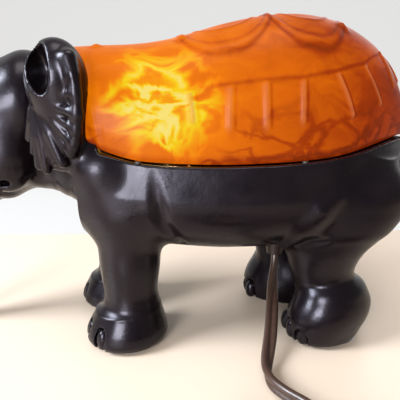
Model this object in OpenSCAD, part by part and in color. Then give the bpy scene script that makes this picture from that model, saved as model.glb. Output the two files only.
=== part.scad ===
// Elephant accent lamp. A walking elephant in dark cast metal carries an art-glass shade shaped like a
// saddle blanket, lit by a small screw-base bulb. Millimetres, +Z up, head towards -X, table top at z = 0.

/* [Figure] */
// Height of the belly above the table
belly_z = 51; // [49:0.5:53]
// Half width of the body at the rim that carries the glass
rim_half_w = 47; // [45:0.5:49]
// How far the flanks stand out beyond the rim
flank_bulge = 3; // [1:0.5:4]
// Wall thickness of the hollow casting
wall = 4.5; // [4:0.25:5.5]
// Distance of the foot centres from the middle plane
stance_y = 24; // [22:0.5:26]
// Radius of a front leg at the shin
shin_r = 15; // [13:0.5:16.5]
// Thickness of the ears
ear_t = 4.4; // [3.5:0.1:5.5]
// Thickness of the felt pads under the feet
felt_t = 1.5; // [1:0.25:2.5]

/* [Shade] */
// Thickness of the glass
glass_t = 3.6; // [3:0.2:4.4]
// Height of the glass at its highest point
crest_z = 175.5; // [170:0.5:180]
// Height of the soft bumpers between glass and rim
bumper_h = 1.2; // [0.8:0.1:2]

/* [Lamp holder] */
// Place of the bulb's axis along the body
socket_x = -6; // [-12:1:2]
// Inner radius of the brass screw shell
screw_shell_r = 6.35; // [6.3:0.05:6.6]
// Outer radius of the threaded pipe
pipe_r = 4.9; // [4.5:0.1:5.2]
// Radius of the bulb at its widest
bulb_r = 11; // [9:0.5:12]

/* [Cord] */
// Width of the flat two-conductor cord
cord_w = 7.1; // [6:0.1:8]
// Thickness of the flat cord
cord_t = 3.6; // [3:0.1:4]
// Place of the cord's exit along the belly
exit_x = 57; // [54:1:60]
// Length of the in-line switch
switch_len = 56; // [50:1:60]
// Radius of the switch's thumb wheel
wheel_r = 11; // [10:0.5:12]

/* [Hidden] */

figure_dark = [0.10, 0.08, 0.09];
amber = [0.93, 0.42, 0.06];
brass = [0.80, 0.62, 0.28];
steel = [0.66, 0.67, 0.69];
phenolic = [0.16, 0.12, 0.10];
cord_brown = [0.20, 0.12, 0.09];
switch_brown = [0.24, 0.14, 0.10];

neck_x = -58;
socket_z = 84;
switch_at = [116, -116];
switch_w = 24;
switch_h = 17;
coil_at = [34, -152];
plug_at = [-30, -198, 6.6];
coil_r = 39;
coil_half_t = 6.6;
coil_h = 15.4;
eps = 0.01;

// --- curves ---------------------------------------------------------------------------------------

function catmull(p, f) = 0.5 * (2 * p[1] + (p[2] - p[0]) * f + (2 * p[0] - 5 * p[1] + 4 * p[2] - p[3]) * f * f
  + (3 * p[1] - p[0] - 3 * p[2] + p[3]) * f * f * f);
// Point of a smooth curve through the rows of a list, u from 0 to 1
function along(rows, u) = let (
    n = len(rows) - 1,
    s = min(max(u, 0), 1) * n,
    i = min(floor(s), n - 1))
  catmull([rows[max(i - 1, 0)], rows[i], rows[i + 1], rows[min(i + 2, n)]], s - i);
function unit(v) = v / norm(v);
function power(v, e) = sign(v) * pow(abs(v), e);

// Closed solid through rings of equal point count
module loft(rings) {
  m = len(rings[0]);
  last = len(rings) - 1;
  points = [for (ring = rings) each ring];
  sides = [for (i = [0 : last - 1], j = [0 : m - 1])
    let (k = (j + 1) % m)
      each [[i * m + j, i * m + k, (i + 1) * m + k], [i * m + j, (i + 1) * m + k, (i + 1) * m + j]]];
  ends = [[for (j = [m - 1 : -1 : 0]) j], [for (j = [0 : m - 1]) last * m + j]];
  polyhedron(points, concat(sides, ends), convexity = 8);
}

// --- cast figure ----------------------------------------------------------------------------------

// Rows of x, belly height, rim height and half width at the flank
torso_rows = [
  [-62, belly_z + 17, 116, 34], [-52, belly_z + 9, 112.5, 39.5], [-36, belly_z + 5, 107, 45],
  [-20, belly_z + 3.5, 102.8, 47.8], [0, belly_z + 1.5, 101.3, 49.4],
  [20, belly_z, 101, rim_half_w + flank_bulge], [40, belly_z, 101.4, 49.6], [58, belly_z, 102.3, 48],
  [76, belly_z, 104, 44.6], [90, belly_z + 0.5, 106.4, 38.8], [102, belly_z + 2.5, 109, 31.5],
  [112, belly_z + 7, 111, 24], [121, belly_z + 15, 112, 16], [127, belly_z + 26, 112.2, 10],
  [130.5, belly_z + 40, 112, 5]];

// One cross section of the trunk of the body, drawn down one flank and up the other
function torso_ring(row, inset, raise) = let (
    zb = row[1] + inset,
    zt = row[2] - bumper_h + raise,
    w = max(row[3] - inset, 1.2),
    zw = zb + 0.62 * (row[2] - zb))
  concat(
    [[row[0], w - flank_bulge * w / 50, zt]],
    [for (a = [0 : 12 : 180]) [row[0], w * power(cos(a), 0.8), zw - (zw - zb) * power(sin(a), 0.8)]],
    [[row[0], -w + flank_bulge * w / 50, zt]]);

module torso(inset, raise, u0, u1, steps) {
  loft([for (i = [0 : steps]) torso_ring(along(torso_rows, u0 + (u1 - u0) * i / steps), inset, raise)]);
}

module ball(at, r) {
  translate(at) scale(r) sphere(r = 1, $fn = 18);
}

// Ellipsoid flattened where it stands on the felt
module foot_form(at, r, turn) {
  intersection() {
    translate([at[0], at[1], felt_t + 7]) rotate([0, 0, turn]) scale([r[0], r[1], 15]) sphere(r = 1, $fn = 28);
    translate([-200, -200, felt_t]) cube([400, 400, 60]);
  }
}

// Leg from the flank down to the ankle: rows of centre and radii
module leg_form(rows) {
  for (i = [0 : len(rows) - 2]) {
    hull() {
      ball(rows[i][0], rows[i][1]);
      ball(rows[i + 1][0], rows[i + 1][1]);
    }
  }
}

// Fore leg; ahead is how far its foot steps out in front
module front_leg(side, ahead) {
  y = side * stance_y;
  leg_form([
    [[-34 - ahead / 2, y + side * 2, 84], [21, 16, 20]],
    [[-28 - ahead * 0.7, y, 54], [18.5, 17.5, 16]],
    [[-28 - ahead * 0.9, y, 31], [shin_r, shin_r, 12]],
    [[-29.5 - ahead, y, 15], [shin_r + 2.5, shin_r + 1.5, 10]]]);
  foot_form([-31 - ahead, y], [22, 21], 0);
}

// Core that hollows a leg down to the shin
module leg_core(x_top, x_shin, side) {
  y = side * stance_y;
  leg_form([
    [[x_top, y - side * 2, 74], [14, 10, 14]],
    [[(x_top + 2 * x_shin) / 3, y, 46], [12, 11, 12]],
    [[x_shin, y, 24], [9.5, 9.5, 9.5]]]);
}

// Hind leg with its haunch; back shifts the whole leg, and turn is how far the toes point outwards
module hind_leg(side, back, turn) {
  y = side * stance_y;
  leg_form([
    [[92 + back / 2, y - side * 1, 82], [25, 17, 22]],
    [[81 + back * 0.7, y, 57], [22, 18.5, 15]],
    [[78.5 + back * 0.8, y, 39], [17.8, 16.5, 12]],
    [[84 + back, y, 18], [19, 16, 12]]]);
  foot_form([85.5 + back, y], [27, 20], turn);
}

module figure_body() {
  color(figure_dark) difference() {
    intersection() {
      union() {
        torso(0, 0, 0, 1, 28);
        // bulkhead that closes the hollow towards the neck
        hull() {
          ball([neck_x + 1, 0, 108], [7, 33, 42]);
          ball([neck_x + 8, 0, 100], [6, 34, 30]);
        }
        front_leg(-1, 0);
        front_leg(1, 14);
        hind_leg(-1, 0, 35);
        hind_leg(1, -14.5, -20);
      }
      translate([neck_x, -100, felt_t]) cube([300, 200, 200]);
    }
    torso(wall, 12, 0.13, 0.95, 24);
    leg_core(-32, -28, -1);
    leg_core(-36, -40, 1);
    leg_core(88, 79, -1);
    leg_core(80, 70, 1);
    // level seats for the feet of the bulb's bracket
    translate([socket_x - 8, -25, foot_z]) cube([16, 50, 12]);
    translate([exit_x, 0, belly_z - 10]) cylinder(r = 5.2, h = 30, $fn = 32);
    for (side = [-1, 1]) {
      translate([socket_x, side * 18, belly_z + wall - 1]) cylinder(r = 1.6, h = 12, $fn = 24);
    }
  }
}

module figure_head() {
  color(figure_dark) difference() {
    intersection() {
      union() {
        hull() {
          ball([neck_x - 4, 0, 110], [10, 36, 40]);
          ball([-78, 0, 116], [18, 33, 37]);
        }
        hull() {
          ball([-78, 0, 118], [16, 32, 36]);
          ball([-88, 0, 128.5], [26, 31, 30.5]);
        }
        hull() {
          ball([-90, 0, 128], [25, 30, 29]);
          ball([-103, 0, 110], [19, 25, 24]);
        }
        hull() {
          ball([-78, 0, 100], [15, 27, 22]);
          ball([-96, 0, 92], [13, 20, 17]);
        }
        hull() {
          ball([-96, 0, 88], [12, 14, 13]);
          ball([-105, 0, 79], [8, 7, 7]);
        }
        trunk_form();
      }
      translate([neck_x - 200, -100, 0]) cube([200, 200, 200]);
    }
    // hollow core, open at the neck
    hull() {
      ball([neck_x + 6, 0, 108], [16, 26, 30]);
      ball([-84, 0, 120], [20, 24, 26]);
    }
  }
}

module trunk_form() {
  rows = [
    [[-103, 0, 110], [19, 25, 24]], [[-113, 0, 96], [14.5, 19, 15]], [[-121, 0, 78], [12.5, 15, 13]],
    [[-126, 0, 60], [11, 12.5, 12]], [[-128.5, 0, 43], [9.5, 10.5, 10]], [[-130, 0, 28], [8, 8.8, 8.5]],
    [[-133.5, 0, 17], [6.5, 7.4, 6.5]], [[-137, 0, 11], [4.5, 6.4, 5]]];
  leg_form(rows);
}

// Rows of height, front x, rear x, and how far the rear edge stands out
ear_rows = [[96, -67, -60, 13], [101, -71, -53.5, 17], [112, -75, -48.5, 20], [125, -76, -45.5, 21],
  [138, -76, -44.5, 21.5], [148, -74, -46.5, 20], [154.5, -70, -52, 15], [157.5, -66, -57, 10]];

function ear_point(row, f, side, skin) =
  [row[1] + (row[2] - row[1]) * f, side * (29 + row[3] * pow(f, 0.9) + skin), row[0]];

module ear(side) {
  skin = ear_t / 2;
  rings = [for (i = [0 : 14]) let (row = along(ear_rows, i / 14))
    let (ring = concat(
      [for (f = [0 : 0.2 : 1]) ear_point(row, f, side, skin)],
      [for (f = [1 : -0.2 : 0]) ear_point(row, f, side, -skin)]))
    side < 0 ? [for (k = [len(ring) - 1 : -1 : 0]) ring[k]] : ring];
  color(figure_dark) loft(rings);
}

module ear_left() {
  ear(-1);
}

module ear_right() {
  ear(1);
}

module tusk(side) {
  color([0.72, 0.66, 0.52]) hull() {
    ball([-103, side * 14, 86], [3.6, 3.6, 3.6]);
    ball([-116, side * 18, 78], [2.6, 2.6, 2.6]);
    ball([-125, side * 19.5, 77.5], [1.1, 1.1, 1.1]);
  }
}

module tusk_left() {
  tusk(-1);
}

module tusk_right() {
  tusk(1);
}

module figure_tail() {
  color(figure_dark) leg_form([
    [[125, 0, 106], [4.5, 5, 5]], [[133, 0, 100], [4, 4.6, 5]], [[137.6, 0, 88], [3.4, 3.8, 5]],
    [[138.2, 0, 76], [3, 3.2, 5]], [[135.6, 0, 67], [4, 4.2, 5.5]], [[131.4, 0, 61.5], [2.6, 2.8, 3]]]);
}

module felt_pads() {
  color([0.10, 0.10, 0.11]) {
    for (at = [[-31, -stance_y], [-45, stance_y], [85.5, -stance_y], [71, stance_y]]) {
      translate([at[0], at[1], 0]) cylinder(r = 14, h = felt_t, $fn = 48);
    }
  }
}

// --- glass shade ----------------------------------------------------------------------------------

// Rows of crest x and height, then rim x, half width and height
shade_rows = [
  [-61, 159, -46, 41, 112], [-44, 160, -35, 44, 107], [-22, 161, -20, 46, 103],
  [0, 164.2, 0, rim_half_w - 0.2, 101.5], [23, 170.5, 22, rim_half_w, 101], [45, crest_z - 0.8, 42, 46.2, 101.5],
  [64, crest_z, 60, 44.6, 102.4], [82, 172.3, 77, 40.6, 104.1], [97, 165.6, 91, 34.4, 106.6],
  [110, 156, 103, 26.6, 109], [119.5, 143, 113, 19.4, 111], [126, 128, 120, 13.6, 112],
  [129.5, 113, 124, 9, 112.3]];

function shade_point(u, a) = let (row = along(shade_rows, u), c = power(cos(a), 0.78))
  [row[2] + (row[0] - row[2]) * c, row[3] * power(sin(a), 0.86), row[4] + (row[1] - row[4]) * c];
function shade_normal(u, a) = let (
    d = 0.004,
    g = min(max(a, -88), 88),
    du = shade_point(min(u + d, 1), g) - shade_point(max(u - d, 0), g),
    da = shade_point(u, g + 1) - shade_point(u, g - 1))
  unit(cross(du, da));

module glass_shade() {
  n = 26;
  m = 22;
  outer = [for (i = [0 : n], j = [0 : m]) shade_point(i / n, -90 + 180 * j / m)];
  inner = [for (i = [0 : n], j = [0 : m]) let (u = i / n, a = -90 + 180 * j / m)
    shade_point(u, a) - glass_t * shade_normal(u, a)];
  w = m + 1;
  o = (n + 1) * w;
  skins = [for (i = [0 : n - 1], j = [0 : m - 1]) let (a = i * w + j, b = a + 1, c = a + w + 1, d = a + w)
    each [[a, b, c], [a, c, d], [o + a, o + c, o + b], [o + a, o + d, o + c]]];
  rims = [for (i = [0 : n - 1]) let (a = i * w, d = a + w, e = a + m, f = e + w)
    each [[a, d, o + d], [a, o + d, o + a], [e, o + f, f], [e, o + e, o + f]]];
  edges = [for (j = [0 : m - 1]) let (a = j, b = j + 1, c = n * w + j, d = c + 1)
    each [[a, o + b, b], [a, o + a, o + b], [c, d, o + d], [c, o + d, o + c]]];
  color(amber, 0.9) polyhedron(concat(outer, inner), concat(skins, rims, edges), convexity = 6);
}

module shade_bumpers() {
  color([0.75, 0.74, 0.70]) {
    for (x = [-20, 60], side = [-1, 1]) {
      y = x < 0 ? 43.4 : 42;
      z = x < 0 ? 102.8 : 102.4;
      translate([x, side * y, z - bumper_h]) cylinder(r = 1.5, h = bumper_h - 0.35, $fn = 24);
    }
    translate([123, 0, 112.1 - bumper_h]) cylinder(r = 1.5, h = bumper_h - 0.35, $fn = 24);
  }
}

// --- bulb holder ----------------------------------------------------------------------------------

bridge_z = 66;
strap_t = 1.5;
foot_z = belly_z + wall + 3.4;

module at_socket(z) {
  translate([socket_x, 0, z]) children();
}

module socket_bracket() {
  color(steel) at_socket(0) difference() {
    union() {
      translate([-7, -13, bridge_z]) cube([14, 26, strap_t]);
      for (side = [-1, 1]) {
        translate([-7, side * 12.25 - strap_t / 2, foot_z]) cube([14, strap_t, bridge_z - foot_z + eps]);
        translate([-7, side * 17.5 - 6, foot_z]) cube([14, 12, strap_t]);
      }
    }
    translate([0, 0, bridge_z - 1]) cylinder(r = pipe_r + 0.2, h = 4, $fn = 48);
    for (side = [-1, 1]) {
      translate([0, side * 18, foot_z - 1]) cylinder(r = 1.9, h = 4, $fn = 32);
    }
  }
}

module bracket_screws() {
  color(steel) for (side = [-1, 1]) {
    at_socket(0) translate([0, side * 18, 0]) {
      translate([0, 0, belly_z + wall - 1]) cylinder(r = 1.5, h = foot_z + strap_t - belly_z - wall + 1, $fn = 32);
      translate([0, 0, foot_z + strap_t]) difference() {
        cylinder(r = 3, h = 2, $fn = 32);
        translate([-3.5, -0.4, 1.2]) cube([7, 0.8, 2]);
      }
    }
  }
}

module threaded_pipe() {
  color(brass) at_socket(62.2) difference() {
    cylinder(r = pipe_r, h = 15, $fn = 48);
    translate([0, 0, -1]) cylinder(r = 3.6, h = 17, $fn = 48);
  }
}

module pipe_nuts() {
  color(brass) for (z = [bridge_z - 3, bridge_z + strap_t]) {
    at_socket(z) difference() {
      cylinder(r = 7.6, h = 3, $fn = 6);
      translate([0, 0, -1]) cylinder(r = pipe_r, h = 5, $fn = 48);
    }
  }
}

module socket_cap() {
  color(phenolic) at_socket(71.5) difference() {
    union() {
      cylinder(r = 8, h = 4, $fn = 64);
      translate([0, 0, 3]) cylinder(r = 12, h = socket_z - 74.5, $fn = 64);
    }
    translate([0, 0, -1]) cylinder(r = pipe_r, h = 8, $fn = 48);
    translate([0, 0, 5.8]) cylinder(r = 10, h = 12, $fn = 64);
  }
}

module socket_shell() {
  color(phenolic) at_socket(socket_z) difference() {
    union() {
      cylinder(r = 11.4, h = 10, $fn = 64);
      cylinder(r = 10, h = 26, $fn = 64);
    }
    translate([0, 0, 7]) cylinder(r = screw_shell_r + 0.6, h = 20, $fn = 64);
    translate([0, 0, -1]) cylinder(r = 2.2, h = 12, $fn = 32);
    for (x = [-6, 6]) {
      translate([x, 0, -1]) cylinder(r = 1.5, h = 6, $fn = 24);
    }
  }
}

module screw_shell() {
  color(brass) at_socket(socket_z + 7) difference() {
    cylinder(r = screw_shell_r + 0.6, h = 18, $fn = 64);
    translate([0, 0, 0.8]) cylinder(r = screw_shell_r, h = 20, $fn = 64);
    translate([0, 0, -1]) cylinder(r = 3.2, h = 4, $fn = 48);
  }
}

module centre_contact() {
  color(brass) at_socket(socket_z - 2) {
    cylinder(r = 2.1, h = 9.2, $fn = 32);
    translate([-2.2, -1.2, 9.2 - eps]) cube([4.4, 2.4, 0.8]);
  }
}

module terminal_screws() {
  color(steel) for (x = [-6, 6]) {
    at_socket(0) translate([x, 0, socket_z - 4.5]) {
      cylinder(r = 1.4, h = 8.4, $fn = 24);
      cylinder(r = 2.6, h = 2, $fn = 32);
    }
  }
}

// Route of one insulated lead, from the bushing along the floor of the hollow and up the pipe
lead_route = [[0, 0, 62], [0, 0, 69], [-3, 0, 74], [-9, 0, 73.5], [-15, 0, 67], [-22, 0, 61.5], [-36, 0, 59.5],
  [-50, 0, 59.6], [-57, 0, 59.8], [-61.4, 0, 61], [-63, 0, 65], [-63, 0, 72], [-63, 0, 76]];

module socket_leads() {
  color([0.55, 0.50, 0.42]) for (side = [-1, 1]) {
    route = [for (p = lead_route) [exit_x + p[0] * (exit_x - socket_x) / 63, side * 1.4, p[2]]];
    tube(concat(route, [[socket_x, side * 3, 78.2]]), [for (p = route) [0, 1, 0]], 0.85, 0.85, 34);
  }
}

module bulb_glass() {
  color([0.95, 0.92, 0.82], 0.5) at_socket(socket_z + 26) rotate_extrude($fn = 64) difference() {
    bulb_outline(0);
    bulb_outline(0.7);
    translate([-20, -10]) square([20, 80]);
  }
}

// Half outline of the flame-shaped bulb, from its neck up to its rounded tip
module bulb_outline(inset) {
  h = 40;
  r = bulb_r - inset;
  neck = 5.4 - inset;
  pts = [for (i = [0 : 20]) let (f = i / 20) [neck + (r - neck) * pow(sin(90 * f), 1.4), 16 * f]];
  tip = [for (i = [1 : 20]) let (f = i / 20) [r * pow(cos(90 * f), 0.72), 16 + (h - 16 - inset) * f]];
  polygon(concat([[0, inset > 0 ? -1 : 0], [neck, inset > 0 ? -1 : 0]], pts, tip));
}

module bulb_base() {
  color(brass) at_socket(socket_z + 11.5) difference() {
    cylinder(r = screw_shell_r - 0.35, h = 15, $fn = 64);
    translate([0, 0, 1]) cylinder(r = screw_shell_r - 0.75, h = 15, $fn = 64);
    translate([0, 0, -1]) cylinder(r = 2.6, h = 4, $fn = 32);
  }
}

module bulb_contact() {
  color([0.12, 0.12, 0.13]) at_socket(socket_z + 10.4) {
    cylinder(r = 2.6, h = 3, $fn = 32);
    translate([0, 0, -1]) cylinder(r = 1.6, h = 1.2, $fn = 32);
  }
}

module bulb_filament() {
  color([0.85, 0.85, 0.80]) at_socket(socket_z + 15) {
    cylinder(r = 3, h = 8, $fn = 32);
    cylinder(r = 1.3, h = 18, $fn = 24);
    for (x = [-3.4, 3.4]) {
      hull() {
        translate([x * 0.4, 0, 17]) sphere(r = 0.4, $fn = 10);
        translate([x, 0, 26]) sphere(r = 0.4, $fn = 10);
      }
    }
    translate([-3.4, 0, 26]) rotate([0, 90, 0]) cylinder(r = 0.6, h = 6.8, $fn = 16);
  }
}

// --- cord, switch and plug ------------------------------------------------------------------------

// Flat tube along a route; wide holds the direction of the cord's width at each point of the route
module tube(route, wide, half_w, half_t, steps) {
  loft([for (i = [0 : steps]) let (
      u = i / steps,
      p = along(route, u),
      t = unit(along(route, min(u + 0.004, 1)) - along(route, max(u - 0.004, 0))),
      w0 = along(wide, u),
      w = unit(w0 - (w0 * t) * t),
      n = cross(t, w))
    [for (a = [22.5 : 45 : 360]) p + half_w * cos(a) / cos(22.5) * w + half_t * sin(a) / cos(22.5) * n]]);
}

bushing_low = belly_z - 11;

module cord_bushing() {
  color(phenolic) translate([exit_x, 0, 0]) difference() {
    union() {
      translate([0, 0, bushing_low]) cylinder(r1 = 4.6, r2 = 6, h = 9, $fn = 48);
      translate([0, 0, belly_z - 2]) cylinder(r = 7.4, h = 2, $fn = 48);
      translate([0, 0, belly_z - eps]) cylinder(r = 5, h = 14, $fn = 48);
    }
    translate([-cord_t / 2 - 0.2, -cord_w / 2 - 0.2, bushing_low - 1]) cube([cord_t + 0.4, cord_w + 0.4, 40]);
  }
}

// Route of the cord from the lamp to the switch, and the direction of its width along the way
lamp_route = [[57, 0, 62], [57, 0, 51], [57, 0, 40], [56, -4, 31], [54, -12, 23.5], [51.8, -22, 17.5],
  [49.4, -32, 12.6], [46.8, -42, 8.8], [44, -51, 6.2], [41.6, -59, 4.7], [40.4, -66, 4], [41.6, -73.5, 3.9],
  [46, -80.5, 3.9], [51.5, -86.5, 3.9], [56.5, -92.5, 3.9], [61, -98, 3.9], [65.5, -103.2, 4], [70, -108, 4.7],
  [75.5, -112.3, 6], [81.5, -115, 7.6], [88, -116, 8.5]];
lamp_wide = [[0, 1, 0], [0, 1, 0], [0.1, 1, 0], [0.4, 0.9, 0], [0.7, 0.6, 0], [0.9, 0.4, 0.1], [1, 0.2, 0],
  [1, 0, -0.15], [0.95, 0, -0.45], [0.7, 0, -0.75], [0.3, 0, -1], [0, 0, -1], [0, 0, -1], [0, 0, -1],
  [0, 0, -1], [0, 0, -1], [0, 0, -1], [0.1, 0.1, -1], [0.3, 0.3, -0.9], [0.4, 0.8, -0.4], [0, 1, 0]];

module lamp_cord() {
  color(cord_brown) tube(lamp_route, lamp_wide, cord_w / 2, cord_t / 2, 44);
}

module rounded_block(size, r) {
  hull() for (x = [-1, 1], y = [-1, 1]) {
    translate([x * (size[0] / 2 - r), y * (size[1] / 2 - r), 0]) {
      translate([0, 0, 1.5]) cylinder(r = r, h = size[2] - 1.5, $fn = 32);
      cylinder(r = r - 1.5, h = 2, $fn = 32);
    }
  }
}

module switch_hollow() {
  translate([0, -3.5, 5]) cylinder(r = wheel_r + 1, h = 7, $fn = 64);
  for (side = [-1, 1]) {
    translate([side * 15 - 6, -4.5, 5.5]) cube([12, 9, 6]);
    translate([side > 0 ? 14 : -40, -3.8, switch_h / 2 - 2.1]) cube([26, 7.6, 4.2]);
  }
  translate([0, -3.5, 3]) cylinder(r = 1.5, h = 11, $fn = 32);
  for (side = [-1, 1]) {
    translate([side * 21, 8, 2]) cylinder(r = 1.25, h = 20, $fn = 24);
    translate([side * 21, 8, switch_h - 2]) cylinder(r = 2.5, h = 5, $fn = 32);
  }
}

module switch_base() {
  color(switch_brown) translate([switch_at[0], switch_at[1], 0]) difference() {
    rounded_block([switch_len, switch_w, switch_h / 2], 8);
    switch_hollow();
  }
}

module switch_cover() {
  color(switch_brown) translate([switch_at[0], switch_at[1], 0]) difference() {
    translate([0, 0, switch_h]) mirror([0, 0, 1]) rounded_block([switch_len, switch_w, switch_h / 2], 8);
    switch_hollow();
  }
}

module switch_screws() {
  color(steel) for (side = [-1, 1]) {
    translate([switch_at[0] + side * 21, switch_at[1] + 8, 0]) {
      translate([0, 0, 2.2]) cylinder(r = 1.2, h = switch_h - 4.2, $fn = 24);
      translate([0, 0, switch_h - 2]) difference() {
        cylinder(r = 2.4, h = 1.4, $fn = 32);
        translate([-3, -0.35, 0.8]) cube([6, 0.7, 2]);
      }
    }
  }
}

module switch_spindle() {
  color(steel) translate([switch_at[0], switch_at[1] - 3.5, 3]) cylinder(r = 1.5, h = 11, $fn = 32);
}

module switch_wheel() {
  color(phenolic) translate([switch_at[0], switch_at[1] - 3.5, 6]) difference() {
    cylinder(r = wheel_r, h = 5, $fn = 72);
    translate([0, 0, -1]) cylinder(r = 1.56, h = 7, $fn = 48);
    for (a = [0 : 15 : 345]) {
      rotate([0, 0, a]) translate([wheel_r + 0.35, 0, -1]) cylinder(r = 0.8, h = 7, $fn = 16);
    }
  }
}

module switch_contacts() {
  color(brass) for (side = [-1, 1]) {
    translate([switch_at[0] + side * 15, switch_at[1], 6]) {
      translate([-2, -2.5, 0]) cube([4, 5, 0.8]);
      translate([side > 0 ? 1.2 : -2, -2.5, 0.8 - eps]) cube([0.8, 5, 4]);
    }
  }
}

// Route of the cord from the switch to the coil, and of the free end from the coil to the plug
plug_route = [[144, -116, 8.5], [153, -116.4, 7], [162, -118.6, 4.8], [170, -123.5, 3.9], [175, -131, 3.9],
  [176, -140, 3.9], [173, -149, 3.9], [166.5, -156, 3.9], [157, -161, 3.9], [145, -164.6, 3.9],
  [131, -167.6, 3.9], [117, -170.6, 3.9], [102, -174.6, 3.9], [84, -180.8, 3.9], [67, -187, 3.9], [49, -193, 3.9]];
end_route = [[20, -196.4, 11.6], [10, -197, 11], [0, -197.6, 9.4], [-10, -198, 7.6], [-20, -198, 6.8], plug_at];

module plug_cord() {
  wide = concat([[0, 1, 0], [0.1, 0.8, -0.5]], [for (i = [2 : len(plug_route) - 1]) [0, 0, -1]]);
  color(cord_brown) tube(plug_route, wide, cord_w / 2, cord_t / 2, 26);
}

module plug_lead() {
  wide = [[0, 0, -1], [0, 0.2, -1], [0, 0.6, -0.8], [0, 1, -0.3], [0, 1, 0], [0, 1, 0]];
  color(cord_brown) tube(end_route, wide, cord_w / 2, cord_t / 2, 9);
}

module cord_coil() {
  color(cord_brown) translate([coil_at[0], coil_at[1], 0]) rotate_extrude($fn = 96)
    translate([coil_r, coil_h / 2 + 0.2]) offset(r = 2, $fn = 24) square([coil_half_t * 2 - 4, coil_h - 4], center = true);
}

// A strap wrapped once round the coil's turns
module coil_tie() {
  gap = 0.3;
  w = coil_half_t * 2 + 2 * gap;
  h = coil_h + gap;
  color([0.12, 0.12, 0.12]) translate([coil_at[0] - coil_r, coil_at[1], 0]) difference() {
    translate([-w / 2 - 0.8, -4, 0]) cube([w + 1.6, 8, h + 1]);
    translate([-w / 2, -5, -1]) cube([w, 10, h + 1.2]);
  }
}

module plug_body() {
  color(cord_brown) translate(plug_at) rotate([0, -90, 0]) {
    hull() {
      translate([-4, -6, 0]) cube([8, 12, 1]);
      translate([-6.2, -12, 12]) cube([12.4, 24, 14]);
    }
  }
}

module plug_blades() {
  color(brass) for (side = [-1, 1]) {
    translate(plug_at) translate([-26 - 17, side * 6.35 - 0.75, -3.2]) difference() {
      cube([17, 1.5, 6.4]);
      translate([4, -1, 3.2]) rotate([-90, 0, 0]) cylinder(r = 1.5, h = 4, $fn = 32);
    }
  }
}

figure_body();
figure_head();
ear_left();
ear_right();
tusk_left();
tusk_right();
figure_tail();
felt_pads();
shade_bumpers();
glass_shade();
socket_bracket();
bracket_screws();
threaded_pipe();
pipe_nuts();
socket_cap();
socket_shell();
screw_shell();
centre_contact();
terminal_screws();
socket_leads();
bulb_glass();
bulb_base();
bulb_contact();
bulb_filament();
cord_bushing();
lamp_cord();
switch_base();
switch_cover();
switch_screws();
switch_spindle();
switch_contacts();
switch_wheel();
plug_cord();
cord_coil();
coil_tie();
plug_lead();
plug_body();
plug_blades();
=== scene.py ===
import bpy
import math
import numpy as np
from mathutils import Euler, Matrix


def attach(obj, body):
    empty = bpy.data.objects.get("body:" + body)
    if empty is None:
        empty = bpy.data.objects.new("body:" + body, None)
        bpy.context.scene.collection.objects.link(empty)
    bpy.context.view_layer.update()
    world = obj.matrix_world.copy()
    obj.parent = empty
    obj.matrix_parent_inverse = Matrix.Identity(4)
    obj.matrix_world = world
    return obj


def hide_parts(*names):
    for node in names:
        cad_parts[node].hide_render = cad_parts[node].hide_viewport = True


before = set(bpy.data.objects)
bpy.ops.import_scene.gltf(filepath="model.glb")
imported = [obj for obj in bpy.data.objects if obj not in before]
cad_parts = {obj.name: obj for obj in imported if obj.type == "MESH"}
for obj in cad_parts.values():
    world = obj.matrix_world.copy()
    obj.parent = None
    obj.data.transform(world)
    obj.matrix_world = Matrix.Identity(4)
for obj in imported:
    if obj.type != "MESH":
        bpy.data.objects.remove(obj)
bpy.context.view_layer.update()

mm = 0.001

# ---------------------------------------------------------------------------------------------------
# Studio: a camera tilted down towards the elephant's left flank, a plain pale table, and a pale wall that
# gives some light of its own. Two window-like softboxes light from the left and the front, with a faint
# one overhead and one behind.

camera_tilt = 12.95
camera_yaw = 2.3
ambient = 0.30
wall_light = 0.70
table_depth = 0.168
room_half = 9
wall_y = 2.5
wall_top = 6
under = -0.002


def aim(thing, target):
    """Turn a light so that it looks at a point."""
    away = np.array(target) - np.array(thing.location)
    flat = math.hypot(away[0], away[1])
    thing.rotation_euler = (math.atan2(flat, -away[2]), 0.0, math.atan2(away[1], away[0]) - math.pi / 2)


def softbox(name, place, target, size, power, colour):
    data = bpy.data.lights.new(name, "AREA")
    data.shape = "RECTANGLE"
    data.size, data.size_y = size
    data.energy = power
    data.color = colour
    lamp = bpy.data.objects.new(name, data)
    lamp.location = place
    aim(lamp, target)
    bpy.context.scene.collection.objects.link(lamp)


camera_data = bpy.data.cameras.new("camera")
camera_data.lens = 36.0
camera_data.sensor_width = 36.0
camera_data.clip_start = 0.01
camera = bpy.data.objects.new("camera", camera_data)
camera.location = (0.0017, -0.2318, 0.127)
camera.rotation_euler = (math.radians(90 - camera_tilt), 0.0, math.radians(-camera_yaw))
bpy.context.scene.collection.objects.link(camera)
bpy.context.scene.camera = camera
bpy.context.scene.view_settings.view_transform = "Standard"

softbox("window_left", (-0.74, -0.22, 0.58), (-0.02, 0.0, 0.10), (0.36, 0.42), 20.0, (0.82, 0.90, 1.0))
softbox("window_front", (-0.42, -1.00, 0.34), (-0.02, 0.0, 0.09), (0.42, 0.36), 18.0, (0.90, 0.93, 1.0))
softbox("overhead", (0.05, -0.15, 0.85), (0.0, 0.0, 0.05), (0.5, 0.35), 3.0, (1.0, 0.98, 0.96))
softbox("back_fill", (0.5, 0.45, 0.5), (0.05, 0.0, 0.08), (0.5, 0.5), 1.2, (1.0, 0.97, 0.93))

world = bpy.data.worlds.new("studio")
bpy.context.scene.world = world
world.use_nodes = True
world.node_tree.nodes["Background"].inputs["Color"].default_value = (0.86, 0.86, 0.85, 1.0)
world.node_tree.nodes["Background"].inputs["Strength"].default_value = ambient


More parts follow.
